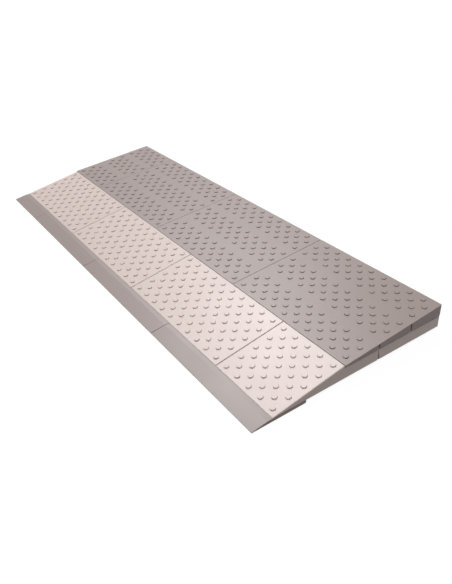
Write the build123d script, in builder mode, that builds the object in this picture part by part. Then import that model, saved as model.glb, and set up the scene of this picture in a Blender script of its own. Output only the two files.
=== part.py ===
from build123d import *
import math
import os

# Modular threshold ramp. The floor is z = 0, the ramp climbs towards +Y, and the origin is the middle of its
# footprint. Edge strips, lower ramps with base blocks behind them, and upper ramps lie in running bond.

# Courses, counted in half modules from the left end
half_first = (1, 2, 2, 2)
half_last = (2, 2, 2, 1)

# Modules, their seams, the ends of the lower pieces inside the upper ramps' ends, and rounded rear corners
half_width = 120.0
edge_seam = 0.5
lower_seam = 1.3
upper_seam = 0.6
block_gap = 1.5
lower_setback = 1.0
edge_setback = 1.7
layer_height = 20.4
corner_radius = 1.6

# Edge strip: blunt front, wedge, flat land and a tongue under the lower ramp
edge_front_face = 0.9
edge_slope_run = 23.5
edge_land = 7.0
tongue_lap = 51.0
tongue_thickness = 4.6
tongue_end_radius = 1.6

# Lower ramp: knobbed slope and a shelf for the upper ramp
lower_run = 112.5
lower_lip = 0.7
shelf_depth = 60.0

# Upper ramp: knobbed wedge with saw slots where it can be shortened
upper_run = 176.5
upper_lip = 1.1
upper_height = 16.2
band_count = 3
slot_width = 2.2
slot_skin = 0.9
slot_wall = 3.2

# Walls of the hollow undersides
wall = 3.0
rib = 2.6
roof = 3.2
cell_limit = 80.0
bearing_margin = 4.5
rail_depth = 20.0

# Knobs, in rows that are shifted by one column every other row
knob_pitch = 12.0
knob_across = 6.8
knob_height = 1.45
knob_taper = 12.0
knob_sides = 4
knob_turn = 45.0
knob_edge_margin = 8.0
lower_first_row = 9.4
upper_first_row = 11.7

# Coupling pegs and anti-slip pads, one of each in the middle of every half module
peg_radius = 6.0
peg_sides = 6
peg_short_end = 3.0
peg_long_end = 4.5
peg_clearance = 0.15
peg_end_room = 0.3
peg_from_tongue_end = 9.5
pad_length = 40.0
pad_depth = 14.0
pad_taper = 8.0

# Places along the ramp and heights above the floor
total_halves = sum(half_first)
total_width = total_halves * half_width
total_depth = edge_slope_run + edge_land + lower_run + upper_run
y_front = -total_depth / 2
y_crease = y_front + edge_slope_run
y_lower = y_crease + edge_land
y_tongue_end = y_lower + tongue_lap
y_upper = y_lower + lower_run
y_shelf_end = y_upper + shelf_depth - block_gap / 2
y_base = y_shelf_end + block_gap
y_rear = y_upper + upper_run
z_shelf = tongue_thickness + layer_height
z_top = z_shelf + upper_height

y_edge_peg = y_tongue_end - peg_from_tongue_end
y_shelf_rail = y_shelf_end - rail_depth / 2
y_base_rail = y_base + rail_depth / 2
y_rear_rail = y_rear - rail_depth / 2
cut_lines = [y_upper + upper_run * band / band_count for band in range(1, band_count)]


def middles(first, last):
    """The middle of every half module from the first up to the last, where pegs and pads go."""
    return [(index + 0.5) * half_width - total_width / 2 for index in range(first, last)]


def course(halves_per_module, seam, setback):
    """Left end, width and half-module middles of each module in a course."""
    places = []
    first = 0
    for halves in halves_per_module:
        last = first + halves
        left_gap = seam / 2 if first > 0 else setback
        right_gap = seam / 2 if last < total_halves else setback
        left = first * half_width - total_width / 2 + left_gap
        places.append((left, halves * half_width - left_gap - right_gap, middles(first, last)))
        first = last
    return places


def cells(left, width):
    """Left edge and width of the hollow cells across a module, none wider than the cell limit."""
    inside = width - 2 * wall
    count = math.ceil((inside + rib) / (cell_limit + rib))
    cell_width = (inside - (count - 1) * rib) / count
    return [(left + wall + index * (cell_width + rib), cell_width) for index in range(count)]


def slope_height(y, y_low, z_low, y_high, z_high):
    """Height at y of the straight slope from (y_low, z_low) to (y_high, z_high)."""
    return z_low + (z_high - z_low) * (y - y_low) / (y_high - y_low)


lower_slope = (y_lower, tongue_thickness + lower_lip, y_upper, z_shelf)
upper_slope = (y_upper, z_shelf + upper_lip, y_rear, z_top)


def slope_plane(left, y_low, z_low, y_high, z_high):
    """Work plane on a slope, x along the module from its left end and y up the slope from its front edge."""
    return Plane(origin=(left, y_low, z_low), x_dir=(1, 0, 0), z_dir=(0, z_low - z_high, y_high - y_low))


def slope_length(y_low, z_low, y_high, z_high):
    """Length of a slope, measured along it."""
    return math.hypot(y_high - y_low, z_high - z_low)


def knob_places(width, length, first_row, bare_rows=()):
    """Knob centres on a slope: every other place of a square grid, and none on a bare row."""
    columns = math.floor((width - 2 * knob_edge_margin) / knob_pitch) + 1
    rows = math.floor((length - first_row - knob_edge_margin) / knob_pitch) + 1
    first_column = (width - (columns - 1) * knob_pitch) / 2
    places = []
    for row in range(rows):
        along = first_row + row * knob_pitch
        if any(abs(along - bare) < knob_pitch / 2 for bare in bare_rows):
            continue
        for column in range(row % 2, columns, 2):
            places.append((first_column + column * knob_pitch, along))
    return places


def pocket(y_start, y_end, z_floor, z_start, z_end):
    """Outline of a hollow that is open below, with its roof at z_start in front and z_end behind."""
    return [(y_start, z_floor), (y_end, z_floor), (y_end, z_end), (y_start, z_start)]


def pocket_under(slope, y_start, y_end, z_floor):
    """Outline of a hollow whose roof follows a slope."""
    z_start = slope_height(y_start, *slope) - roof
    z_end = slope_height(y_end, *slope) - roof
    return pocket(y_start, y_end, z_floor, z_start, z_end)


def make_edge_strip(left, width, places):
    """Plain wedge with a land and a tongue, and blind sockets for the pegs in the tongue's top."""
    outline = [
        (y_front, 0),
        (y_tongue_end, 0),
        (y_tongue_end, tongue_thickness),
        (y_crease, tongue_thickness),
        (y_front, edge_front_face),
    ]
    with BuildPart() as strip:
        with BuildSketch(Plane.YZ.offset(left)) as section:
            Polygon(*outline, align=None)
            tongue_corner = section.vertices().group_by(Axis.X)[-1].sort_by(Axis.Y)[0]
            fillet(tongue_corner, radius=tongue_end_radius)
        extrude(amount=width)
        with BuildSketch(Plane.XY.offset(tongue_thickness)):
            with Locations(*[(x, y_edge_peg) for x in places]):
                RegularPolygon(peg_radius + peg_clearance, peg_sides)
        extrude(amount=-peg_short_end, mode=Mode.SUBTRACT)
    return strip.part


def make_lower_ramp(left, width, places):
    """Knobbed slope and shelf, hollow behind the tongue, with peg sockets below and in the shelf's rail."""
    outline = [
        (y_lower, tongue_thickness),
        (y_shelf_end, tongue_thickness),
        (y_shelf_end, z_shelf),
        (y_upper, z_shelf),
        (y_lower, tongue_thickness + lower_lip),
    ]
    z_plate = z_shelf - roof
    hollows = [
        pocket_under(lower_slope, y_tongue_end + bearing_margin, y_upper - rib / 2, tongue_thickness),
        pocket(y_upper + rib / 2, y_shelf_end - rail_depth, tongue_thickness, z_plate, z_plate),
    ]
    with BuildPart() as ramp:
        with BuildSketch(Plane.YZ.offset(left)):
            Polygon(*outline, align=None)
        extrude(amount=width)
        for cell_left, cell_width in cells(left, width):
            with BuildSketch(Plane.YZ.offset(cell_left)):
                for hollow in hollows:
                    Polygon(*hollow, align=None)
            extrude(amount=cell_width, mode=Mode.SUBTRACT)
        with BuildSketch(Plane.XY.offset(tongue_thickness)):
            with Locations(*[(x, y_edge_peg) for x in places]):
                RegularPolygon(peg_radius + peg_clearance, peg_sides)
        extrude(amount=peg_long_end + peg_end_room, mode=Mode.SUBTRACT)
        with BuildSketch(Plane.XY.offset(z_shelf)):
            with Locations(*[(x, y_shelf_rail) for x in places]):
                RegularPolygon(peg_radius + peg_clearance, peg_sides)
        extrude(amount=-peg_long_end, mode=Mode.SUBTRACT)
        with BuildSketch(slope_plane(left, *lower_slope)):
            with Locations(*knob_places(width, slope_length(*lower_slope), lower_first_row)):
                RegularPolygon(knob_across / 2, knob_sides, major_radius=False, rotation=knob_turn)
        extrude(amount=knob_height, taper=knob_taper)
    return ramp.part


def make_base_block(left, width, places):
    """Plain box behind the shelf, hollow below, with a rail in front and one behind that holds the pegs."""
    depth = y_rear - y_base
    hollow_depth = (depth - 2 * rail_depth - rib) / 2
    z_plate = z_shelf - roof
    first = y_base + rail_depth
    second = first + hollow_depth + rib
    with BuildPart() as block:
        with BuildSketch(Plane.YZ.offset(left)):
            Polygon(*pocket(y_base, y_rear, tongue_thickness, z_shelf, z_shelf), align=None)
        extrude(amount=width)
        for cell_left, cell_width in cells(left, width):
            with BuildSketch(Plane.YZ.offset(cell_left)):
                for start in (first, second):
                    hollow = pocket(start, start + hollow_depth, tongue_thickness, z_plate, z_plate)
                    Polygon(*hollow, align=None)
            extrude(amount=cell_width, mode=Mode.SUBTRACT)
        with BuildSketch(Plane.XY.offset(z_shelf)):
            with Locations(*[(x, y_rear_rail) for x in places]):
                RegularPolygon(peg_radius + peg_clearance, peg_sides)
        extrude(amount=-peg_long_end, mode=Mode.SUBTRACT)
    return block.part


def make_upper_ramp(left, width, places):
    """Knobbed wedge with saw slots between its bands, hollow behind the first band, sockets underneath."""
    outline = [
        (y_upper, z_shelf),
        (y_rear, z_shelf),
        (y_rear, z_top),
        (y_upper, z_shelf + upper_lip),
    ]
    hollow_starts = [line + slot_width / 2 + slot_wall for line in cut_lines]
    hollow_ends = [line - slot_width / 2 - slot_wall for line in cut_lines[1:]] + [y_rear - rail_depth]
    bare_rows = [slope_length(*upper_slope) * band / band_count for band in range(1, band_count)]
    with BuildPart() as ramp:
        with BuildSketch(Plane.YZ.offset(left)):
            Polygon(*outline, align=None)
        extrude(amount=width)
        fillet(ramp.edges().filter_by(Axis.Z).group_by(Axis.Y)[-1], radius=corner_radius)
        with BuildSketch(Plane.YZ.offset(left)):
            for line in cut_lines:
                z_skin = slope_height(line, *upper_slope) - slot_skin
                slot = pocket(line - slot_width / 2, line + slot_width / 2, z_shelf, z_skin, z_skin)
                Polygon(*slot, align=None)
        extrude(amount=width, mode=Mode.SUBTRACT)
        for cell_left, cell_width in cells(left, width):
            with BuildSketch(Plane.YZ.offset(cell_left)):
                for start, end in zip(hollow_starts, hollow_ends):
                    Polygon(*pocket_under(upper_slope, start, end, z_shelf), align=None)
            extrude(amount=cell_width, mode=Mode.SUBTRACT)
        with BuildSketch(Plane.XY.offset(z_shelf)):
            with Locations(*[(x, y) for x in places for y in (y_shelf_rail, y_rear_rail)]):
                RegularPolygon(peg_radius + peg_clearance, peg_sides)
        extrude(amount=peg_short_end + peg_end_room, mode=Mode.SUBTRACT)
        with BuildSketch(slope_plane(left, *upper_slope)):
            with Locations(*knob_places(width, slope_length(*upper_slope), upper_first_row, bare_rows)):
                RegularPolygon(knob_across / 2, knob_sides, major_radius=False, rotation=knob_turn)
        extrude(amount=knob_height, taper=knob_taper)
    return ramp.part


def make_pegs(y, z_bottom):
    """One row of coupling pegs across the whole ramp."""
    with BuildPart() as pegs:
        with BuildSketch(Plane.XY.offset(z_bottom)):
            with Locations(*[(x, y) for x in middles(0, total_halves)]):
                RegularPolygon(peg_radius, peg_sides)
        extrude(amount=peg_short_end + peg_long_end)
    return pegs.part


def make_pads(y):
    """One row of anti-slip pads across the whole ramp, between the floor and the modules' underside."""
    with BuildPart() as pads:
        with BuildSketch(Plane.XY.offset(tongue_thickness)):
            with Locations(*[(x, y) for x in middles(0, total_halves)]):
                Rectangle(pad_length, pad_depth)
        extrude(amount=-tongue_thickness, taper=pad_taper)
    return pads.part


pieces = {}
for name, make, halves_per_module, seam, setback in (
    ("edge_strip", make_edge_strip, half_first, edge_seam, edge_setback),
    ("lower_ramp", make_lower_ramp, half_last, lower_seam, lower_setback),
    ("base_block", make_base_block, half_last, lower_seam, lower_setback),
    ("upper_ramp", make_upper_ramp, half_first, upper_seam, 0),
):
    for number, place in enumerate(course(halves_per_module, seam, setback), start=1):
        pieces[f"{name}_{number}"] = make(*place)

pieces["edge_pegs"] = make_pegs(y_edge_peg, tongue_thickness - peg_short_end)
pieces["shelf_pegs"] = make_pegs(y_shelf_rail, z_shelf - peg_long_end)
pieces["rear_pegs"] = make_pegs(y_rear_rail, z_shelf - peg_long_end)
pieces["shelf_pads"] = make_pads(y_shelf_rail)
pieces["base_front_pads"] = make_pads(y_base_rail)
pieces["base_rear_pads"] = make_pads(y_rear_rail)

os.makedirs("parts", exist_ok=True)
for name, piece in pieces.items():
    piece.label = name
    export_step(piece, f"parts/{name}.step")
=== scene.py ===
"""Threshold ramp of moulded modules in running bond, dressed on its CAD frame.

Adds round knobs, rounded edges, shaded joints, finishes, a studio and the photograph's camera.
"""
import logging
import math
from collections.abc import Callable, Iterable, Sequence
from dataclasses import dataclass, field
from enum import Enum
from typing import Any

import bmesh
import bpy
from bmesh.types import BMEdge, BMesh
from bpy.types import Material, Mesh, Node, NodeSocket, NodeTree, Object
from mathutils import Matrix, Vector


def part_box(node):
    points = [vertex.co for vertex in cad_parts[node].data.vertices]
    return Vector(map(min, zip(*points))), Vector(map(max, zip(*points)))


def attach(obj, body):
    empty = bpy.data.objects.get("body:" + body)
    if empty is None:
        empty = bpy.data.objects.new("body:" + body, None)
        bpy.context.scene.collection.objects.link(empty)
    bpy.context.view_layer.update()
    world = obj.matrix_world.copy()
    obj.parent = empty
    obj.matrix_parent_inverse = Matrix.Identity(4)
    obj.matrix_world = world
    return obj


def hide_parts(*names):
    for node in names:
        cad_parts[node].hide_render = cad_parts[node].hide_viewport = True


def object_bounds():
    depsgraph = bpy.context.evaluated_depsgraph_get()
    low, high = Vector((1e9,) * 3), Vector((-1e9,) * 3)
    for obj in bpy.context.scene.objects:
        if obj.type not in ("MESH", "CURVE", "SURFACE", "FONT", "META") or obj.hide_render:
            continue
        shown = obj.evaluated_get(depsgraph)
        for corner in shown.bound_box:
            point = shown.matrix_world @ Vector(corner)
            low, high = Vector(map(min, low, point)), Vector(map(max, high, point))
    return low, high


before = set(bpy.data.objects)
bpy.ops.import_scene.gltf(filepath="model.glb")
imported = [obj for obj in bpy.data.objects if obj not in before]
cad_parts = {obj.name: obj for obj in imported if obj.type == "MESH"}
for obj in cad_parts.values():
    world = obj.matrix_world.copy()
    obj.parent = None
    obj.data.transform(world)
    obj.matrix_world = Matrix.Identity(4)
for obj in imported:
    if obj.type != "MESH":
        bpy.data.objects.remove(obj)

CAD_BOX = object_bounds()
BODY = "root"
MODULES_PER_COURSE = 4
MM = 0.001
# Points that are closer than this count as one.
TINY = 0.01 * MM
# How far a shape that is taken out reaches past the face that it opens.
PAST = 1.0 * MM
# Inputs of the knob field for rows without knobs, and what they hold where there is none
BARE_ROWS = ("Bare Row A", "Bare Row B")
NO_ROW = -1
# Row numbers that differ by less than this are the same.
SAME_ROW = 0.5
Point = tuple[float, float]
log = logging.getLogger("threshold_ramp")


class Slot(Enum):
    """Names of the material slots that the dressed pieces carry."""

    GREY = "grey_plastic"
    PALE = "pale_plastic"
    PAD = "pad_rubber"


class Change(Enum):
    """What a set of shapes does to a piece, by the name that Blender has for it."""

    TAKE_OUT = "DIFFERENCE"
    ADD = "UNION"


# Small helpers for nodes, materials and meshes


def linear(hex_colour: str) -> tuple[float, float, float, float]:
    """Turn an sRGB hex colour into linear red, green, blue and alpha."""
    channels = [int(hex_colour[start:start + 2], 16) / 255 for start in (1, 3, 5)]
    return (*(c / 12.92 if c <= 0.04045 else ((c + 0.055) / 1.055) ** 2.4 for c in channels), 1.0)


def add_node(tree: NodeTree, kind: str, settings: dict[str, Any] | None = None,
             inputs: dict[str | int, Any] | None = None) -> Node:
    """Add a node with its settings and its inputs.

    Args:
        tree: node tree that gets the node.
        kind: type name of the node.
        settings: properties of the node.
        inputs: a value, or another node's output to link, for each named or numbered input.

    Returns:
        The new node.
    """
    node = tree.nodes.new(kind)
    for name, value in (settings or {}).items():
        setattr(node, name, value)
    for key, value in (inputs or {}).items():
        if isinstance(value, NodeSocket):
            tree.links.new(value, node.inputs[key])
        else:
            node.inputs[key].default_value = value
    return node


def maths(tree: NodeTree, operation: str, *values: Any) -> NodeSocket:
    """Add one maths node for some values or outputs, and give its result."""
    return add_node(tree, "ShaderNodeMath", {"operation": operation}, dict(enumerate(values))).outputs[0]


def mix_colours(tree: NodeTree, share: NodeSocket, first: str, second: str) -> NodeSocket:
    """Mix two sRGB hex colours.

    Args:
        tree: node tree that gets the mix.
        share: output with the second colour's share.
        first: colour where the share is 0.
        second: colour where it is 1.

    Returns:
        The output with the mixed colour.
    """
    # The node has sockets for every type of data. These are the ones for colours.
    mixed = add_node(tree, "ShaderNodeMix", {"data_type": "RGBA"}, {
        0: share, 6: linear(first), 7: linear(second)})
    return mixed.outputs[2]


def new_material(name: str) -> Material:
    """Make a material with an empty node tree.

    Args:
        name: name of the material.

    Returns:
        The new material.
    """
    material = bpy.data.materials.new(name)
    material.use_nodes = True
    material.node_tree.nodes.clear()
    return material


def new_object(name: str, mesh: Mesh) -> Object:
    """Put a mesh into the scene as an object at the origin.

    Args:
        name: name of the object.
        mesh: its mesh.

    Returns:
        The new object.
    """
    obj = bpy.data.objects.new(name, mesh)
    bpy.context.scene.collection.objects.link(obj)
    return obj


def mesh_from(name: str, shape: BMesh) -> Mesh:
    """Turn a finished shape into a mesh.

    Args:
        name: name of the mesh.
        shape: the shape, which is used up.

    Returns:
        The new mesh.
    """
    mesh = bpy.data.meshes.new(name)
    shape.to_mesh(mesh)
    shape.free()
    return mesh


def plain_mesh(obj: Object) -> None:
    """Replace an object's mesh by what its modifiers make of it, and remove the modifiers.

    Args:
        obj: object with modifiers.
    """
    graph = bpy.context.evaluated_depsgraph_get()
    mesh = bpy.data.meshes.new_from_object(
        obj.evaluated_get(graph), preserve_all_data_layers=True, depsgraph=graph)
    raw = obj.data
    obj.modifiers.clear()
    obj.data = mesh
    bpy.data.meshes.remove(raw)
    mesh.name = obj.name


def add_tree(obj: Object, tree: NodeTree, values: dict[str, Any]) -> None:
    """Give an object a node modifier with its inputs.

    Args:
        obj: object that gets the modifier.
        tree: geometry tree.
        values: a value for each of the tree's inputs, by its name.
    """
    modifier = obj.modifiers.new(tree.name, "NODES")
    modifier.node_group = tree
    for item in tree.interface.items_tree:
        if item.in_out == "INPUT" and item.name in values:
            modifier[item.identifier] = values[item.name]


def stand_for(obj: Object, node: str) -> None:
    """Put a finished object in the place of its CAD node.

    Args:
        obj: dressed object.
        node: name of the CAD node.
    """
    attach(obj, BODY)
    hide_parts(node)
    log.info("%s stands for %s, %d faces", obj.name, node, len(obj.data.polygons))


# Shapes from a section


def box_section(front: float, rear: float, low: float, high: float) -> tuple[Point, ...]:
    """Give the section of a box, from its lower front corner."""
    return (front, low), (rear, low), (rear, high), (front, high)


@dataclass(frozen=True)
class Slope:
    """A sloping surface in a section, as y and z of its front edge and of its rear edge."""

    low: Point
    high: Point

    @property
    def length(self) -> float:
        """Length along the surface."""
        return math.dist(self.low, self.high)

    @property
    def tilt(self) -> float:
        """Angle to the ground."""
        return math.atan2(self.high[1] - self.low[1], self.high[0] - self.low[0])

    def height(self, y: float) -> float:
        """Give the height of the surface at y."""
        return self.low[1] + (self.high[1] - self.low[1]) * (y - self.low[0]) / (self.high[0] - self.low[0])


@dataclass
class Prism:
    """A section in Y and Z, drawn out along X.

    Its edges are kept by the section point that they start from: along X, and across to the next point
    at both ends.
    """

    section: Sequence[Point]
    left: float
    right: float
    shape: BMesh = field(init=False)
    along: list[BMEdge] = field(init=False)
    across: list[list[BMEdge]] = field(init=False)

    def build(self) -> BMesh:
        """Make the closed shape.

        Returns:
            The shape, with its outer faces flat.
        """
        self.shape = bmesh.new()
        ends = [[self.shape.verts.new((x, y, z)) for y, z in self.section] for x in (self.left, self.right)]
        for end in ends:
            self.shape.faces.new(end)
        count = len(self.section)
        pairs = [(index, (index + 1) % count) for index in range(count)]
        for here, there in pairs:
            self.shape.faces.new((ends[0][here], ends[0][there], ends[1][there], ends[1][here]))
        between = self.shape.edges.get
        self.along = [between((ends[0][here], ends[1][here])) for here, _ in pairs]
        self.across = [[between((end[here], end[there])) for end in ends] for here, there in pairs]
        bmesh.ops.recalc_face_normals(self.shape, faces=self.shape.faces)
        return self.shape

    def edges(self, keep: Callable[[Vector], bool]) -> list[BMEdge]:
        """Pick the edges of which both ends pass a test."""
        return [edge for edge in self.shape.edges if all(keep(vert.co) for vert in edge.verts)]

    def end_edges(self, keep: Callable[[Vector], bool]) -> list[BMEdge]:
        """Pick the edges round the left and the right end of which both ends pass a test."""
        return [edge for edge in self.edges(keep) for x in (self.left, self.right)
                if all(abs(vert.co.x - x) < TINY for vert in edge.verts)]

    def round(self, edges: Iterable[BMEdge], radius: float, segments: int = 3) -> None:
        """Round some edges and let the new faces shade smoothly.

        Args:
            edges: edges of the prism.
            radius: radius of the rounding.
            segments: faces across the rounding.
        """
        made = bmesh.ops.bevel(self.shape, geom=list(edges), offset=radius, segments=segments, profile=0.5,
                               affect="EDGES", clamp_overlap=True)
        for face in made["faces"]:
            face.smooth = True


# Finishes


@dataclass(frozen=True)
class MouldedPlastic:
    """Polypropylene from a spark-eroded mould: a soft satin sheen over a very fine grain.

    The eye sees an even colour with a faint cloudiness from the flow of the melt, and a broad pale sheen
    where the light glances off.
    """

    name: str
    colour: str
    cloud_colour: str
    roughness: float = 0.46
    roughness_spread: float = 0.03
    # The grain takes part of the gloss that smooth plastic has at 0.5.
    specular_level: float = 0.3
    cloud_mm: float = 55.0
    cloud_detail: float = 3.0
    cloud_roughness: float = 0.55
    # The real grain is about 0.1 mm, too fine to show, so it is drawn coarser.
    grain_mm: float = 0.9
    grain_detail: float = 2.0
    grain_depth_mm: float = 0.012
    grain_strength: float = 0.5

    def material(self) -> Material:
        """Build the finish.

        Returns:
            The material.
        """
        material = new_material(self.name)
        tree = material.node_tree
        place = add_node(tree, "ShaderNodeTexCoord").outputs["Object"]
        cloud = add_node(tree, "ShaderNodeTexNoise", inputs={
            "Vector": place, "Scale": 1 / (self.cloud_mm * MM), "Detail": self.cloud_detail,
            "Roughness": self.cloud_roughness}).outputs["Fac"]
        sheen = add_node(tree, "ShaderNodeMapRange", inputs={
            "Value": cloud, "To Min": self.roughness - self.roughness_spread,
            "To Max": self.roughness + self.roughness_spread})
        grain = add_node(tree, "ShaderNodeTexNoise", inputs={
            "Vector": place, "Scale": 1 / (self.grain_mm * MM), "Detail": self.grain_detail})
        bump = add_node(tree, "ShaderNodeBump", inputs={
            "Height": grain.outputs["Fac"], "Strength": self.grain_strength,
            "Distance": self.grain_depth_mm * MM})
        shader = add_node(tree, "ShaderNodeBsdfPrincipled", inputs={
            "Base Color": mix_colours(tree, cloud, self.colour, self.cloud_colour),
            "Roughness": sheen.outputs["Result"], "Specular IOR Level": self.specular_level,
            "Normal": bump.outputs["Normal"]})
        add_node(tree, "ShaderNodeOutputMaterial", inputs={"Surface": shader.outputs["BSDF"]})
        return material


PALE_PLASTIC = MouldedPlastic("pale_grey_moulded_polypropylene", "#dccbc5", "#d8c7c1")
GREY_PLASTIC = MouldedPlastic("grey_moulded_polypropylene", "#9c8d89", "#988985")
PEG_PLASTIC = MouldedPlastic("dark_grey_moulded_nylon", "#3a3a3b", "#333334", roughness=0.5)


@dataclass(frozen=True)
class PadRubber:
    """Black moulded rubber: matte, slightly greyed where dust clings, with a fine pebbled skin."""

    name: str = "black_moulded_rubber"
    colour: str = "#1b1b1c"
    dust_colour: str = "#2c2b2a"
    roughness: float = 0.8
    dust_mm: float = 9.0
    dust_detail: float = 4.0
    pebble_mm: float = 0.7
    pebble_depth_mm: float = 0.05
    pebble_strength: float = 0.6

    def material(self) -> Material:
        """Build the finish.

        Returns:
            The material.
        """
        material = new_material(self.name)
        tree = material.node_tree
        place = add_node(tree, "ShaderNodeTexCoord").outputs["Object"]
        dust = add_node(tree, "ShaderNodeTexNoise", inputs={
            "Vector": place, "Scale": 1 / (self.dust_mm * MM), "Detail": self.dust_detail})
        pebbles = add_node(tree, "ShaderNodeTexVoronoi", inputs={
            "Vector": place, "Scale": 1 / (self.pebble_mm * MM)})
        bump = add_node(tree, "ShaderNodeBump", {"invert": True}, {
            "Height": pebbles.outputs["Distance"], "Strength": self.pebble_strength,
            "Distance": self.pebble_depth_mm * MM})
        shader = add_node(tree, "ShaderNodeBsdfPrincipled", inputs={
            "Base Color": mix_colours(tree, dust.outputs["Fac"], self.colour, self.dust_colour),
            "Roughness": self.roughness, "Normal": bump.outputs["Normal"]})
        add_node(tree, "ShaderNodeOutputMaterial", inputs={"Surface": shader.outputs["BSDF"]})
        return material


# Node trees for what repeats


def start_tree(name: str, sockets: Sequence[tuple[str, str]]) -> tuple[NodeTree, Node]:
    """Begin a geometry tree with named inputs and one geometry output.

    Args:
        name: name of the tree.
        sockets: name and socket type of each input.

    Returns:
        The tree and its input node.
    """
    tree = bpy.data.node_groups.new(name, "GeometryNodeTree")
    for label, kind in sockets:
        tree.interface.new_socket(label, in_out="INPUT", socket_type=kind)
    tree.interface.new_socket("Geometry", in_out="OUTPUT", socket_type="NodeSocketGeometry")
    return tree, add_node(tree, "NodeGroupInput")


def end_tree(tree: NodeTree, made: NodeSocket, finish: NodeSocket) -> None:
    """Give what a geometry tree has made its finish, and pass it out."""
    dressed = add_node(tree, "GeometryNodeSetMaterial", inputs={"Geometry": made, "Material": finish})
    add_node(tree, "NodeGroupOutput", inputs={0: dressed.outputs[0]})


def knob_field_tree() -> NodeTree:
    """Build the tree that sets knobs on a slope, in staggered rows, and joins them to the module.

    Returns:
        The tree.
    """
    tree, given = start_tree("knob_field", (
        ("Module", "NodeSocketGeometry"), ("Knob", "NodeSocketObject"), ("Columns", "NodeSocketInt"),
        ("Rows", "NodeSocketInt"), ("Pitch", "NodeSocketFloat"), ("First Knob", "NodeSocketVector"),
        ("Slope", "NodeSocketVector"), *((bare, "NodeSocketInt") for bare in BARE_ROWS),
        ("Finish", "NodeSocketMaterial")))
    pitch, columns, rows = (given.outputs[label] for label in ("Pitch", "Columns", "Rows"))
    width = maths(tree, "MULTIPLY", maths(tree, "SUBTRACT", columns, 1.0), pitch)
    length = maths(tree, "MULTIPLY", maths(tree, "SUBTRACT", rows, 1.0), pitch)
    grid = add_node(tree, "GeometryNodeMeshGrid", inputs={
        "Size X": width, "Size Y": length, "Vertices X": columns, "Vertices Y": rows})
    middle = add_node(tree, "ShaderNodeCombineXYZ", inputs={
        "X": maths(tree, "MULTIPLY", width, 0.5), "Y": maths(tree, "MULTIPLY", length, 0.5)})
    from_first = add_node(tree, "GeometryNodeTransform", inputs={
        "Geometry": grid.outputs["Mesh"], "Translation": middle.outputs[0]})
    place = add_node(tree, "ShaderNodeSeparateXYZ", inputs={
        "Vector": add_node(tree, "GeometryNodeInputPosition").outputs[0]})
    column, row = (maths(tree, "ROUND", maths(tree, "DIVIDE", place.outputs[axis], pitch)) for axis in "XY")
    # Every other place of the grid stays empty, and so does a bare row.
    left_out = maths(tree, "MODULO", maths(tree, "ADD", column, row), 2.0)
    for bare in BARE_ROWS:
        is_bare = maths(tree, "COMPARE", row, given.outputs[bare], SAME_ROW)
        left_out = maths(tree, "MAXIMUM", left_out, is_bare)
    places = add_node(tree, "GeometryNodeDeleteGeometry", {"domain": "POINT"}, {
        "Geometry": from_first.outputs[0], "Selection": left_out})
    knob = add_node(tree, "GeometryNodeObjectInfo", inputs={"Object": given.outputs["Knob"]})
    knobs = add_node(tree, "GeometryNodeInstanceOnPoints", inputs={
        "Points": places.outputs[0], "Instance": knob.outputs["Geometry"]})
    on_slope = add_node(tree, "GeometryNodeTransform", inputs={
        "Geometry": knobs.outputs[0], "Translation": given.outputs["First Knob"],
        "Rotation": given.outputs["Slope"]})
    real = add_node(tree, "GeometryNodeRealizeInstances", inputs={"Geometry": on_slope.outputs[0]})
    joined = add_node(tree, "GeometryNodeJoinGeometry")
    for part in (real.outputs[0], given.outputs["Module"]):
        tree.links.new(part, joined.inputs[0])
    end_tree(tree, joined.outputs[0], given.outputs["Finish"])
    return tree


def row_tree() -> NodeTree:
    """Build the tree that repeats one piece along X at even steps.

    Returns:
        The tree.
    """
    tree, given = start_tree("row_of_pieces", (
        ("Piece", "NodeSocketGeometry"), ("Count", "NodeSocketInt"), ("Step", "NodeSocketVector"),
        ("First Place", "NodeSocketVector"), ("Finish", "NodeSocketMaterial")))
    line = add_node(tree, "GeometryNodeMeshLine", inputs={
        "Count": given.outputs["Count"], "Start Location": given.outputs["First Place"],
        "Offset": given.outputs["Step"]})
    pieces = add_node(tree, "GeometryNodeInstanceOnPoints", inputs={
        "Points": line.outputs[0], "Instance": given.outputs["Piece"]})
    real = add_node(tree, "GeometryNodeRealizeInstances", inputs={"Geometry": pieces.outputs[0]})
    end_tree(tree, real.outputs[0], given.outputs["Finish"])
    return tree


# Sub-assemblies


@dataclass(frozen=True)
class Span:
    """Room that a CAD node takes, in metres."""

    left: float
    right: float
    front: float
    rear: float
    bottom: float
    top: float

    @classmethod
    def of(cls, node: str) -> "Span":
        """Read the room of a CAD node."""
        low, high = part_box(node)
        return cls(low.x, high.x, low.y, high.y, low.z, high.z)


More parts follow.
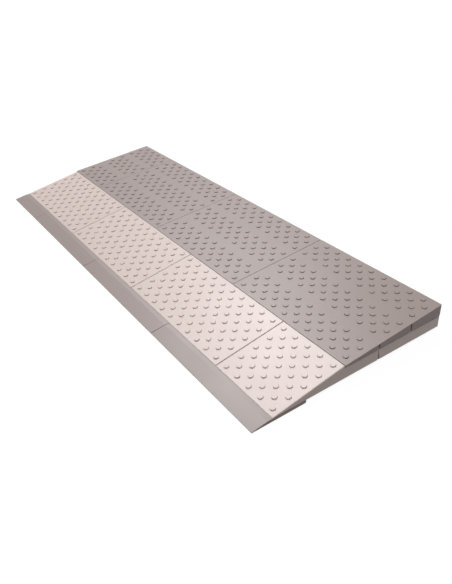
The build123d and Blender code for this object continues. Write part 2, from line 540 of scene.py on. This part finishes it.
@dataclass(frozen=True)
class Moulding:
    """Sizes that all modules share, in metres."""

    half_width: float = 120 * MM
    half_count: int = 7
    # Hollow cells, and the solid rail that holds a row of sockets
    wall: float = 3.0 * MM
    rib: float = 2.6 * MM
    roof: float = 3.2 * MM
    cell_limit: float = 80 * MM
    rail: float = 20 * MM
    # Peg sockets
    socket_radius: float = 6.15 * MM
    socket_sides: int = 6
    short_socket: float = 3.0 * MM
    long_socket: float = 4.5 * MM
    end_room: float = 0.3 * MM
    tongue_peg_inset: float = 9.5 * MM
    # Rounded edges of the walls, the edge strips, and the upper ramps' underside and slope
    edge_round: float = 0.5 * MM
    strip_round: float = 0.35 * MM
    layer_round: float = 0.2 * MM
    slope_round: float = 0.3 * MM
    # Rim and grooves at the ramp's two ends, which lie further from the middle than outer_end
    outer_end: float = 400 * MM
    rim_height: float = 1.4 * MM
    rim_depth: float = 0.9 * MM
    groove_below_rim: float = 1.8 * MM
    groove_depth: float = 1.2 * MM
    groove_end: float = 6.0 * MM

    @property
    def layer_groove(self) -> float:
        """Height of the groove behind and below the rim."""
        return self.rim_height + self.groove_below_rim

    def stations(self, span: Span) -> list[float]:
        """Give the middle of every half module between a module's ends."""
        middles = [(index + (1 - self.half_count) / 2) * self.half_width for index in range(self.half_count)]
        return [x for x in middles if span.left < x < span.right]

    def cells(self, span: Span) -> list[Point]:
        """Divide a module's width into hollow cells.

        Args:
            span: room of the module.

        Returns:
            The left and right end of each cell.
        """
        inside = span.right - span.left - 2 * self.wall
        count = math.ceil((inside + self.rib) / (self.cell_limit + self.rib))
        width = (inside - (count - 1) * self.rib) / count
        lefts = [span.left + self.wall + index * (width + self.rib) for index in range(count)]
        return [(left, left + width) for left in lefts]

    def hollows(self, span: Span, outlines: Sequence[Sequence[Point]]) -> list[Prism]:
        """Draw each hollow's outline out across every cell."""
        return [Prism(outline, left, right) for left, right in self.cells(span) for outline in outlines]

    def socket(self, x: float, y: float, low: float, high: float) -> BMesh:
        """Make one upright peg socket as a closed shape.

        Args:
            x: middle of the socket across the ramp.
            y: middle of the socket along the ramp.
            low: lower end.
            high: upper end.

        Returns:
            The shape to take out of the module.
        """
        shape = bmesh.new()
        place = Matrix.Translation((x, y, (low + high) / 2))
        bmesh.ops.create_cone(shape, cap_ends=True, segments=self.socket_sides, radius1=self.socket_radius,
                              radius2=self.socket_radius, depth=high - low, matrix=place)
        return shape


@dataclass(frozen=True)
class Knob:
    """One round knob with a soft rim, a little sunk into the surface that it stands on."""

    shoulder: float
    height: float
    base_radius: float = 3.95 * MM
    shoulder_radius: float = 3.8 * MM
    top_radius: float = 3.4 * MM
    sunk: float = 0.1 * MM
    sides: int = 16

    def build(self) -> Object:
        """Make the knob round the origin, standing on z = 0.

        Returns:
            The object that the knob field repeats.
        """
        rings = ((self.base_radius, -self.sunk), (self.shoulder_radius, self.shoulder),
                 (self.top_radius, self.height))
        shape = bmesh.new()
        turns = [math.tau * index / self.sides for index in range(self.sides)]
        loops = [[shape.verts.new((r * math.cos(t), r * math.sin(t), z)) for t in turns] for r, z in rings]
        for lower, upper in zip(loops, loops[1:]):
            for index in range(self.sides):
                following = (index + 1) % self.sides
                face = shape.faces.new((lower[index], lower[following], upper[following], upper[index]))
                face.smooth = True
        shape.faces.new(loops[0][::-1])
        shape.faces.new(loops[-1])
        return new_object("knob_pattern", mesh_from("knob_pattern", shape))


# In the photograph the pale knobs look higher than the grey ones.
PALE_KNOB = Knob(shoulder=1.18 * MM, height=1.6 * MM)
GREY_KNOB = Knob(shoulder=0.88 * MM, height=1.3 * MM)


@dataclass(frozen=True)
class KnobLayout:
    """Where the knobs stand on a slope, in metres along it."""

    pitch: float = 12 * MM
    edge_margin: float = 8 * MM

    def values(self, span: Span, slope: Slope, first_row: float, bands: int) -> dict[str, Any]:
        """Work out the inputs of the knob field.

        Args:
            span: room of the module.
            slope: surface that the knobs stand on.
            first_row: distance of the first row from the slope's front edge.
            bands: number of bands that bare rows divide the slope into.

        Returns:
            A value for each named input of the tree.
        """
        width, tilt = span.right - span.left, slope.tilt
        columns = math.floor((width - 2 * self.edge_margin) / self.pitch) + 1
        rows = math.floor((slope.length - first_row - self.edge_margin) / self.pitch) + 1
        bare = [round((slope.length * band / bands - first_row) / self.pitch) for band in range(1, bands)]
        bare += [NO_ROW] * (len(BARE_ROWS) - len(bare))
        first = Vector((span.left + (width - (columns - 1) * self.pitch) / 2,
                        slope.low[0] + first_row * math.cos(tilt), slope.low[1] + first_row * math.sin(tilt)))
        return {"Columns": columns, "Rows": rows, "Pitch": self.pitch, "First Knob": first,
                "Slope": Vector((tilt, 0.0, 0.0)), **dict(zip(BARE_ROWS, bare))}


@dataclass
class Module:
    """One moulded piece of the ramp: makes its body, takes out its hollows and dresses it."""

    node: str
    finish: Material
    slot: Slot
    moulding: Moulding
    span: Span = field(init=False)
    obj: Object = field(init=False)

    def __post_init__(self) -> None:
        """Read the room that the CAD gives the piece."""
        self.span = Span.of(self.node)

    def outer_ends(self) -> list[float]:
        """Give the ends of the piece that are ends of the ramp too."""
        return [x for x in (self.span.left, self.span.right) if abs(x) > self.moulding.outer_end]

    def joint_groove(self, x: float, front: float, rear: float, top: float, height: float) -> BMesh:
        """Make the groove that shades a joint at an outer end of the ramp, as a closed shape.

        Args:
            x: where the end is.
            front: where the groove starts.
            rear: where it stops.
            top: upper side of the piece.
            height: how far the groove reaches down.

        Returns:
            The shape to take off.
        """
        ends = sorted((x - math.copysign(self.moulding.groove_depth, x), x + math.copysign(PAST, x)))
        return Prism(box_section(front, rear, top - height, top + PAST), *ends).build()

    def combine(self, change: Change, parts: Iterable[BMesh]) -> None:
        """Take closed shapes out of the piece or add them to it.

        Args:
            change: what the shapes do.
            parts: the shapes, which are used up.
        """
        together = bmesh.new()
        for part in parts:
            mesh = mesh_from("part", part)
            together.from_mesh(mesh)
            bpy.data.meshes.remove(mesh)
        tool = new_object("parts", mesh_from("parts", together))
        modifier = self.obj.modifiers.new("parts", "BOOLEAN")
        modifier.operation = change.value
        modifier.solver = "EXACT"
        modifier.object = tool
        plain_mesh(self.obj)
        # This removes the tool's object too.
        bpy.data.meshes.remove(tool.data)

    def carve(self, prism: Prism, hollows: Sequence[Prism], sockets: Sequence[tuple[float, float, float]],
              trims: Sequence[BMesh] = ()) -> None:
        """Make the piece's object and take the hollows, the sockets and the trims out of it.

        Args:
            prism: finished outer shape.
            hollows: closed shapes of the hollow cells.
            sockets: y, lower end and upper end of each row of peg sockets.
            trims: other closed shapes to take off.
        """
        self.obj = new_object(f"{self.node}_moulded", mesh_from(self.node, prism.shape))
        parts = [hollow.build() for hollow in hollows]
        parts += [self.moulding.socket(x, *row) for x in self.moulding.stations(self.span) for row in sockets]
        self.combine(Change.TAKE_OUT, (*parts, *trims))

    def finish_piece(self) -> None:
        """Give the piece its material where it has none, and put it in its CAD node's place."""
        if not self.obj.data.materials:
            self.obj.data.materials.append(self.finish)
        stand_for(self.obj, self.node)


@dataclass
class EdgeStrip(Module):
    """Plain wedge with a narrow land behind it and a tongue that runs on under the lower ramps."""

    front_face: float = 0.9 * MM
    slope_run: float = 23.5 * MM
    land: float = 7.0 * MM
    tongue_round: float = 1.6 * MM
    tongue_faces: int = 4
    # At the ramp's two ends the strip reaches past its solid, with a groove along the tongue.
    outer_reach: float = 0.7 * MM
    groove_height: float = 1.2 * MM
    groove_stop: float = 2.0 * MM

    def build(self) -> None:
        """Make the strip with its rounded edges, peg sockets and groove."""
        room, shared = self.span, self.moulding
        crease = room.front + self.slope_run
        wedge = Slope((room.front, room.bottom + self.front_face), (crease, room.top))
        outer = [x + math.copysign(self.outer_reach, x) for x in self.outer_ends()]
        prism = Prism(((room.front, room.bottom), (room.rear, room.bottom), (room.rear, room.top),
                       wedge.high, wedge.low), min((room.left, *outer)), max((room.right, *outer)))
        prism.build()
        prism.round([prism.along[1]], self.tongue_round, self.tongue_faces)

        def on_top(place: Vector) -> bool:
            """Tell whether a point lies on the wedge, the land or the tongue's upper side."""
            return abs(place.z - min(room.top, wedge.height(place.y))) < TINY

        prism.round(prism.end_edges(on_top), shared.strip_round)
        pegs = room.rear - shared.tongue_peg_inset, room.top - shared.short_socket, room.top + PAST
        grooves = [self.joint_groove(x, crease + self.land, room.rear - self.groove_stop, room.top,
                                     self.groove_height) for x in outer]
        self.carve(prism, (), (pegs,), grooves)
        self.finish_piece()


@dataclass
class KnobbedModule(Module):
    """A hollow module with staggered rows of knobs on its slope."""

    knob: Object
    knob_field: NodeTree
    layout: KnobLayout = KnobLayout()

    def hollow_outline(self, slope: Slope, front: float, rear: float, floor: float) -> tuple[Point, ...]:
        """Draw a hollow with an even roof below a slope.

        Args:
            slope: surface above the hollow.
            front: where the hollow starts.
            rear: where it ends.
            floor: its lower side.

        Returns:
            The outline in Y and Z.
        """
        roof = self.moulding.roof
        return ((front, floor), (rear, floor), (rear, slope.height(rear) - roof),
                (front, slope.height(front) - roof))

    def add_knobs(self, slope: Slope, first_row: float, bands: int) -> None:
        """Set the knobs on the slope and give the whole piece its finish.

        Args:
            slope: surface that the knobs stand on.
            first_row: distance of the first row from the slope's front edge.
            bands: number of bands that bare rows divide the slope into.
        """
        values = self.layout.values(self.span, slope, first_row, bands)
        add_tree(self.obj, self.knob_field, {"Knob": self.knob, "Finish": self.finish, **values})
        plain_mesh(self.obj)


@dataclass
class LowerRamp(KnobbedModule):
    """Pale knobbed slope with a shelf behind it, hollow below."""

    run: float = 112.5 * MM
    front_lip: float = 0.7 * MM
    layer: float = 20.4 * MM
    tongue_lap: float = 51.0 * MM
    bearing: float = 4.5 * MM
    first_row: float = 9.4 * MM
    bands: int = 1
    # Rounding of the slope's edge at the ramp's two ends
    outer_round: float = 1.2 * MM
    outer_faces: int = 5
    outer_fade: float = 8.0 * MM

    def edge_trim(self, x: float, slope: Slope) -> BMesh:
        """Make the shape that rounds the slope's edge at an outer end of the ramp when it is taken off.

        Args:
            x: where the end is.
            slope: the knobbed surface.

        Returns:
            The shape, which fades out below the upper ramp.
        """
        radius = self.outer_round
        turns = [math.pi / 2 * step / self.outer_faces for step in range(self.outer_faces + 1)]
        arc = [(radius * (math.sin(turn) - 1), radius * (math.cos(turn) - 1)) for turn in turns]
        section = (*arc, (PAST, -radius), (PAST, PAST), (-radius, PAST))
        shape = Prism(section, -PAST, slope.length + self.outer_fade).build()
        upwards = Vector((0.0, math.cos(slope.tilt), math.sin(slope.tilt)))
        outwards = Vector((math.copysign(1.0, x), 0.0, 0.0))
        turned = Matrix((upwards, outwards, Vector((0.0, -upwards.z, upwards.y)))).transposed().to_4x4()
        shape.transform(Matrix.Translation((x, *slope.low)) @ turned)
        bmesh.ops.recalc_face_normals(shape, faces=shape.faces)
        return shape

    def build(self) -> None:
        """Make the module with its hollows, sockets, rounded edges and knobs."""
        room, shared = self.span, self.moulding
        shelf, step = room.bottom + self.layer, room.front + self.run
        slope = Slope((room.front, room.bottom + self.front_lip), (step, shelf))
        prism = Prism(((room.front, room.bottom), (room.rear, room.bottom), (room.rear, shelf),
                       slope.high, slope.low), room.left, room.right)
        prism.build()
        # The front lip, and at both ends the edges at the rear, on the shelf and on the slope
        end_edges = [edge for pair in prism.across[1:4] for edge in pair]
        prism.round([prism.along[4], *end_edges], shared.edge_round)

        floor = room.bottom - PAST
        start = room.front + self.tongue_lap + self.bearing
        outlines = (
            self.hollow_outline(slope, start, step - shared.rib / 2, floor),
            box_section(step + shared.rib / 2, room.rear - shared.rail, floor, shelf - shared.roof))
        sockets = (
            (room.front + self.tongue_lap - shared.tongue_peg_inset, floor,
             room.bottom + shared.long_socket + shared.end_room),
            (room.rear - shared.rail / 2, shelf - shared.long_socket, shelf + PAST))
        trims = [trim for x in self.outer_ends() for trim in (
            self.edge_trim(x, slope),
            self.joint_groove(x, step + shared.groove_end, room.rear + PAST, shelf, shared.layer_groove))]
        self.carve(prism, shared.hollows(room, outlines), sockets, trims)
        self.add_knobs(slope, self.first_row, self.bands)
        self.finish_piece()


@dataclass
class BaseBlock(Module):
    """Plain pale block behind the shelf, hollow below, that carries the upper ramps."""

    def build(self) -> None:
        """Make the block with its rounded edges, hollows and sockets."""
        room, shared = self.span, self.moulding
        prism = Prism(box_section(room.front, room.rear, room.bottom, room.top), room.left, room.right)
        prism.build()
        # All edges round both ends but the lowest
        prism.round([edge for pair in prism.across[1:] for edge in pair], shared.edge_round)
        floor, plate = room.bottom - PAST, room.top - shared.roof
        depth = (room.rear - room.front - 2 * shared.rail - shared.rib) / 2
        starts = (room.front + shared.rail, room.front + shared.rail + depth + shared.rib)
        outlines = [box_section(y, y + depth, floor, plate) for y in starts]
        pegs = room.rear - shared.rail / 2, room.top - shared.long_socket, room.top + PAST
        grooves = [self.joint_groove(x, room.front - PAST, room.rear - shared.groove_end, room.top,
                                     shared.layer_groove) for x in self.outer_ends()]
        self.carve(prism, shared.hollows(room, outlines), (pegs,), grooves)
        self.finish_piece()


@dataclass
class UpperRamp(KnobbedModule):
    """Grey knobbed wedge with saw slots from below at the bare rows, where it can be shortened."""

    front_lip: float = 1.1 * MM
    height: float = 16.2 * MM
    corner_round: float = 1.6 * MM
    corner_faces: int = 4
    bands: int = 3
    slot_width: float = 2.2 * MM
    slot_skin: float = 0.9 * MM
    slot_wall: float = 3.2 * MM
    shelf_pegs: float = 49.25 * MM
    first_row: float = 11.7 * MM
    rim_lap: float = 0.3 * MM

    def slots(self) -> list[Point]:
        """Place the saw slots at even steps along the module.

        Returns:
            The front and the rear side of each slot.
        """
        room, half = self.span, self.slot_width / 2
        lines = [room.front + (room.rear - room.front) * band / self.bands for band in range(1, self.bands)]
        return [(line - half, line + half) for line in lines]

    def rim(self, x: float) -> list[BMesh]:
        """Make the rim that hangs over the lower pieces at an outer end of the ramp.

        Args:
            x: where the end is.

        Returns:
            The rails between the saw slots as closed shapes, a little lapped into the wall above.
        """
        room, shared = self.span, self.moulding
        stops = [room.front, *(y for slot in self.slots() for y in slot), room.rear - self.corner_round]
        low, high = room.bottom - shared.rim_height, room.bottom + self.rim_lap
        ends = sorted((x, x - math.copysign(shared.rim_depth, x)))
        return [Prism(box_section(front, rear, low, high), *ends).build()
                for front, rear in zip(stops[::2], stops[1::2])]

    def body(self, slope: Slope) -> Prism:
        """Make the wedge with its saw slots and rounded edges.

        Args:
            slope: surface that the knobs stand on.

        Returns:
            The finished outer shape, without the rim.
        """
        room, shared = self.span, self.moulding
        underside = [(room.front, room.bottom)]
        for front, rear in self.slots():
            skin = slope.height((front + rear) / 2) - self.slot_skin
            underside += [(front, room.bottom), (front, skin), (rear, skin), (rear, room.bottom)]
        prism = Prism((*underside, (room.rear, room.bottom), slope.high, slope.low), room.left, room.right)
        prism.build()
        rear_corners = prism.end_edges(lambda place: abs(place.y - room.rear) < TINY)
        prism.round(rear_corners, self.corner_round, self.corner_faces)
        slope_edges = prism.edges(lambda place: abs(place.z - slope.height(place.y)) < TINY)
        prism.round(slope_edges, shared.slope_round)

        def at_bottom(place: Vector) -> bool:
            """Tell whether a point lies on the underside."""
            return abs(place.z - room.bottom) < TINY

        def at_rear(place: Vector) -> bool:
            """Tell whether a point lies on the underside's rear edge or its rounded corners."""
            return at_bottom(place) and place.y > room.rear - self.corner_round - TINY

        # The rim takes the place of the lower edge at the ramp's two ends.
        inner_edges = [edge for edge in prism.end_edges(at_bottom)
                       if abs(edge.verts[0].co.x) < shared.outer_end]
        prism.round(inner_edges + prism.edges(at_rear), shared.layer_round)
        return prism

    def build(self) -> None:
        """Make the module with its slots, hollows, sockets, rim and knobs."""
        room, shared = self.span, self.moulding
        slope = Slope((room.front, room.bottom + self.front_lip), (room.rear, room.bottom + self.height))
        prism = self.body(slope)
        floor, depth = room.bottom - PAST, room.bottom + shared.short_socket + shared.end_room
        # The cells lie behind each slot. The wedge is solid in front of the first one.
        starts = [rear + self.slot_wall for _, rear in self.slots()]
        stops = [front - self.slot_wall for front, _ in self.slots()[1:]] + [room.rear - shared.rail]
        outlines = [self.hollow_outline(slope, front, rear, floor) for front, rear in zip(starts, stops)]
        self.carve(prism, shared.hollows(room, outlines), (
            (room.front + self.shelf_pegs, floor, depth), (room.rear - shared.rail / 2, floor, depth)))
        rails = [rail for x in self.outer_ends() for rail in self.rim(x)]
        if rails:
            self.combine(Change.ADD, rails)
        self.add_knobs(slope, self.first_row, self.bands)
        self.finish_piece()


@dataclass
class PadRow:
    """A row of anti-slip pads, one under the middle of every half module."""

    node: str
    finish: Material
    row: NodeTree
    moulding: Moulding
    length: float = 40.0 * MM
    corner: float = 3.0 * MM
    corner_faces: int = 4
    rim: float = 0.7 * MM
    rim_faces: int = 2

    def build(self) -> None:
        """Make one pad with rounded corners and repeat it along the row."""
        room, shared = Span.of(self.node), self.moulding
        half_length, half_depth = self.length / 2, (room.rear - room.front) / 2
        prism = Prism(box_section(-half_depth, half_depth, room.bottom, room.top), -half_length, half_length)
        prism.build()
        prism.round(prism.across[1] + prism.across[3], self.corner, self.corner_faces)
        sole = prism.edges(lambda place: abs(place.z - room.bottom) < TINY)
        prism.round(sole, self.rim, self.rim_faces)
        obj = new_object(f"{self.node}_moulded", mesh_from(self.node, prism.shape))
        add_tree(obj, self.row, {
            "Count": round((room.right - room.left - self.length) / shared.half_width) + 1,
            "Step": Vector((shared.half_width, 0.0, 0.0)),
            "First Place": Vector((room.left + half_length, room.front + half_depth, 0.0)),
            "Finish": self.finish})
        plain_mesh(obj)
        stand_for(obj, self.node)


# Studio and camera


@dataclass(frozen=True)
class Lamp:
    """A square soft light that looks at the middle of the ramp."""

    name: str
    direction: tuple[float, float, float]
    distance: float
    size: float
    power: float
    reflection_only: bool = False

    def build(self) -> None:
        """Hang the light."""
        data = bpy.data.lights.new(self.name, "AREA")
        data.size = self.size
        data.energy = self.power
        lamp = bpy.data.objects.new(self.name, data)
        lamp.location = Vector(self.direction).normalized() * self.distance
        lamp.rotation_euler = lamp.location.to_track_quat("Z", "Y").to_euler()
        lamp.visible_diffuse = not self.reflection_only
        bpy.context.scene.collection.objects.link(lamp)


@dataclass(frozen=True)
class Studio:
    """White floor and surround with soft lights, and painted shade on the floor under the ramp.

    A key light and its reflection come from behind on the left, an overhead light and a fill light from
    the right.
    """

    floor_size: float = 12.0
    floor_drop: float = 0.1 * MM
    floor_colour: str = "#303030"
    floor_glow: float = 0.92
    white_from: float = 1.0
    white_at: float = 4.0
    # The floor has no glow this far inside the ramp's ends, which paints shade on the floor under the ramp.
    painted_shade_inset: float = 15 * MM
    floor_shade_colour: str = "#646464"
    surround_colour: str = "#ffffff"
    surround: float = 0.25
    lamps: tuple[Lamp, ...] = (
        Lamp("key_light", (-0.509, 0.245, 0.825), distance=3.0, size=0.7, power=33.0),
        Lamp("sheen_card", (-0.509, 0.245, 0.825), distance=2.9, size=0.7, power=84.0, reflection_only=True),
        Lamp("overhead_light", (0.37, -0.04, 0.93), distance=4.2, size=1.1, power=50.0),
        Lamp("fill_light", (0.62, -0.25, 0.74), distance=3.0, size=1.2, power=7.0),
    )

    def white_for_camera(self, tree: NodeTree) -> NodeSocket:
        """Give 1 for rays from the camera and for what gloss and glass show, and 0 for light.

        Args:
            tree: node tree of the floor or the world.

        Returns:
            The output to mix by.
        """
        path = add_node(tree, "ShaderNodeLightPath").outputs
        seen = path["Is Camera Ray"]
        for other in ("Is Glossy Ray", "Is Transmission Ray"):
            seen = maths(tree, "MAXIMUM", seen, path[other])
        return seen

    def floor_strength(self, tree: NodeTree) -> NodeSocket:
        """Give the floor's glow: none under the ramp, as painted shade, short of white round the ramp, white
        far away.

        Args:
            tree: node tree of the floor.

        Returns:
            The output for the glow.
        """
        place = add_node(tree, "ShaderNodeTexCoord").outputs["Object"]
        away = add_node(tree, "ShaderNodeVectorMath", {"operation": "LENGTH"}, {0: place}).outputs["Value"]
        strength = add_node(tree, "ShaderNodeMapRange", inputs={
            "Value": away, "From Min": self.white_from, "From Max": self.white_at,
            "To Min": self.floor_glow, "To Max": 1.0}).outputs["Result"]
        axes = add_node(tree, "ShaderNodeSeparateXYZ", inputs={0: place})
        # The glow is off inside the ramp's outline, which paints shade on the floor under it.
        beyond = []
        for axis, ramp_end in zip("XY", CAD_BOX[1]):
            side = maths(tree, "ABSOLUTE", axes.outputs[axis])
            beyond.append(maths(tree, "GREATER_THAN", side, ramp_end - self.painted_shade_inset))
        return maths(tree, "MULTIPLY", strength, maths(tree, "MAXIMUM", *beyond))

    def floor(self) -> None:
        """Lay the floor, white to the eye apart from a faint shadow and painted shade under the ramp, and dim
        as a light.
        """
        shape = bmesh.new()
        bmesh.ops.create_grid(shape, x_segments=1, y_segments=1, size=self.floor_size / 2,
                              matrix=Matrix.Translation((0, 0, -self.floor_drop)))
        material = new_material("white_studio_floor")
        tree = material.node_tree
        dim = add_node(tree, "ShaderNodeBsdfDiffuse", inputs={"Color": linear(self.floor_colour)})
        shade = add_node(tree, "ShaderNodeBsdfDiffuse", inputs={"Color": linear(self.floor_shade_colour)})
        glow = add_node(tree, "ShaderNodeEmission", inputs={"Strength": self.floor_strength(tree)})
        eye = add_node(tree, "ShaderNodeAddShader", inputs={0: shade.outputs[0], 1: glow.outputs[0]})
        mixed = add_node(tree, "ShaderNodeMixShader", inputs={
            0: self.white_for_camera(tree), 1: dim.outputs[0], 2: eye.outputs[0]})
        add_node(tree, "ShaderNodeOutputMaterial", inputs={"Surface": mixed.outputs[0]})
        mesh = mesh_from("studio_floor", shape)
        mesh.materials.append(material)
        new_object("studio_floor", mesh)

    def world(self) -> None:
        """Make the surround white to the eye and dim as a light."""
        world = bpy.data.worlds.new("studio_surround")
        bpy.context.scene.world = world
        world.use_nodes = True
        tree = world.node_tree
        tree.nodes.clear()
        strength = add_node(tree, "ShaderNodeMapRange", inputs={
            "Value": self.white_for_camera(tree), "To Min": self.surround, "To Max": 1.0})
        light = add_node(tree, "ShaderNodeBackground", inputs={
            "Color": linear(self.surround_colour), "Strength": strength.outputs["Result"]})
        add_node(tree, "ShaderNodeOutputWorld", inputs={"Surface": light.outputs[0]})

    def build(self) -> None:
        """Set up the floor, the surround and the lights."""
        self.floor()
        self.world()
        for lamp in self.lamps:
            lamp.build()
        bpy.context.scene.view_settings.view_transform = "Standard"


@dataclass(frozen=True)
class PhotoCamera:
    """Camera at the photograph's viewing angle, found from the module seams and the knob grid."""

    azimuth: float = 56.64
    elevation: float = 33.02
    roll: float = -3.03
    distance: float = 923.7 * MM
    target: Point = (164.0 * MM, -8.2 * MM)
    focal_pixels: float = 595.3
    centre_x_pixels: float = 232.0
    image: tuple[int, int] = (452, 584)
    sensor_mm: float = 36.0
    nearest: float = 50 * MM

    def build(self) -> None:
        """Place the camera and make it the scene's own."""
        turn, lift, roll = (math.radians(angle) for angle in (self.azimuth, self.elevation, self.roll))
        back = Vector((math.sin(turn) * math.cos(lift), -math.cos(turn) * math.cos(lift), math.sin(lift)))
        level = Vector((math.cos(turn), math.sin(turn), 0.0))
        upright = back.cross(level)
        right = math.cos(roll) * level + math.sin(roll) * upright
        up = math.cos(roll) * upright - math.sin(roll) * level
        long_side = max(self.image)
        data = bpy.data.cameras.new("photo_camera")
        data.sensor_width = self.sensor_mm
        data.lens = self.focal_pixels / long_side * self.sensor_mm
        data.shift_x = (self.image[0] / 2 - self.centre_x_pixels) / long_side
        data.clip_start = self.nearest
        camera = bpy.data.objects.new("photo_camera", data)
        place = Vector((*self.target, 0.0)) + back * self.distance
        camera.matrix_world = Matrix.Translation(place) @ Matrix((right, up, back)).transposed().to_4x4()
        bpy.context.scene.collection.objects.link(camera)
        bpy.context.scene.camera = camera


def main() -> None:
    """Build the ramp course by course, then the studio and the camera."""
    logging.basicConfig(level=logging.INFO, format="%(name)s: %(message)s")
    pale, grey, dark = (plastic.material() for plastic in (PALE_PLASTIC, GREY_PLASTIC, PEG_PLASTIC))
    rubber = PadRubber().material()
    shared, knob_field, row = Moulding(), knob_field_tree(), row_tree()
    pale_knob, grey_knob = PALE_KNOB.build(), GREY_KNOB.build()
    for number in range(1, MODULES_PER_COURSE + 1):
        EdgeStrip(f"edge_strip_{number}", grey, Slot.GREY, shared).build()
        LowerRamp(f"lower_ramp_{number}", pale, Slot.PALE, shared, pale_knob, knob_field).build()
        BaseBlock(f"base_block_{number}", pale, Slot.PALE, shared).build()
        UpperRamp(f"upper_ramp_{number}", grey, Slot.GREY, shared, grey_knob, knob_field).build()
    for knob in (pale_knob, grey_knob):
        bpy.data.meshes.remove(knob.data)
    for node in ("shelf_pads", "base_front_pads", "base_rear_pads"):
        PadRow(node, rubber, row, shared).build()
    for node in ("edge_pegs", "shelf_pegs", "rear_pegs"):
        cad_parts[node].data.materials.clear()
        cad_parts[node].data.materials.append(dark)
        log.info("%s keeps its solids", node)
    Studio().build()
    PhotoCamera().build()


if __name__ == "__main__":
    main()
